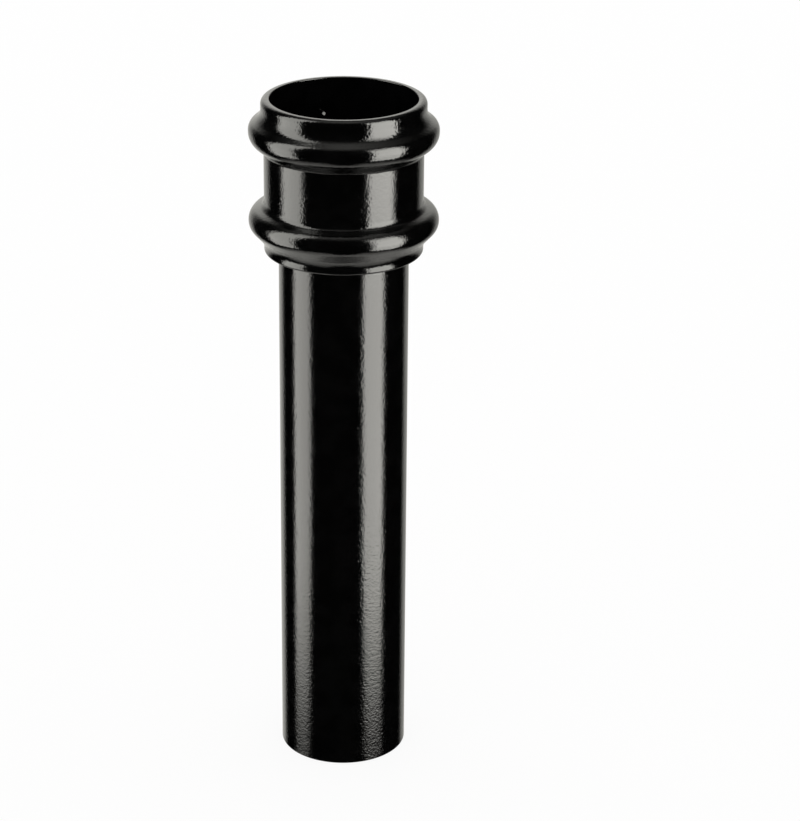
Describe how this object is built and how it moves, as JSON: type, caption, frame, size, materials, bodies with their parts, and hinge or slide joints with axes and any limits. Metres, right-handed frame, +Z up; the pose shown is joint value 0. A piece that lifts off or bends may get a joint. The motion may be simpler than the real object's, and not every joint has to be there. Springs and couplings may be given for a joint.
{
  "type": "round rainwater downpipe with socket collar",
  "caption": "Short round downpipe with a beaded socket collar on its top end and a plain spigot end below, in gloss black.",
  "frame": {"origin": "centre of the pipe's lower end face, on the floor it stands on", "axes": "+Z up along the pipe towards the socket; the picture looks along +Y with +X to its right"},
  "size_m": [0.0944, 0.0944, 0.3528],
  "materials": {
    "pipe_black": "gloss black powder coat",
    "collar_black": "gloss black powder coat"
  },
  "bodies": {
    "root": {"pipe": "pipe_black", "collar": "collar_black"}
  },
  "joints": []
}
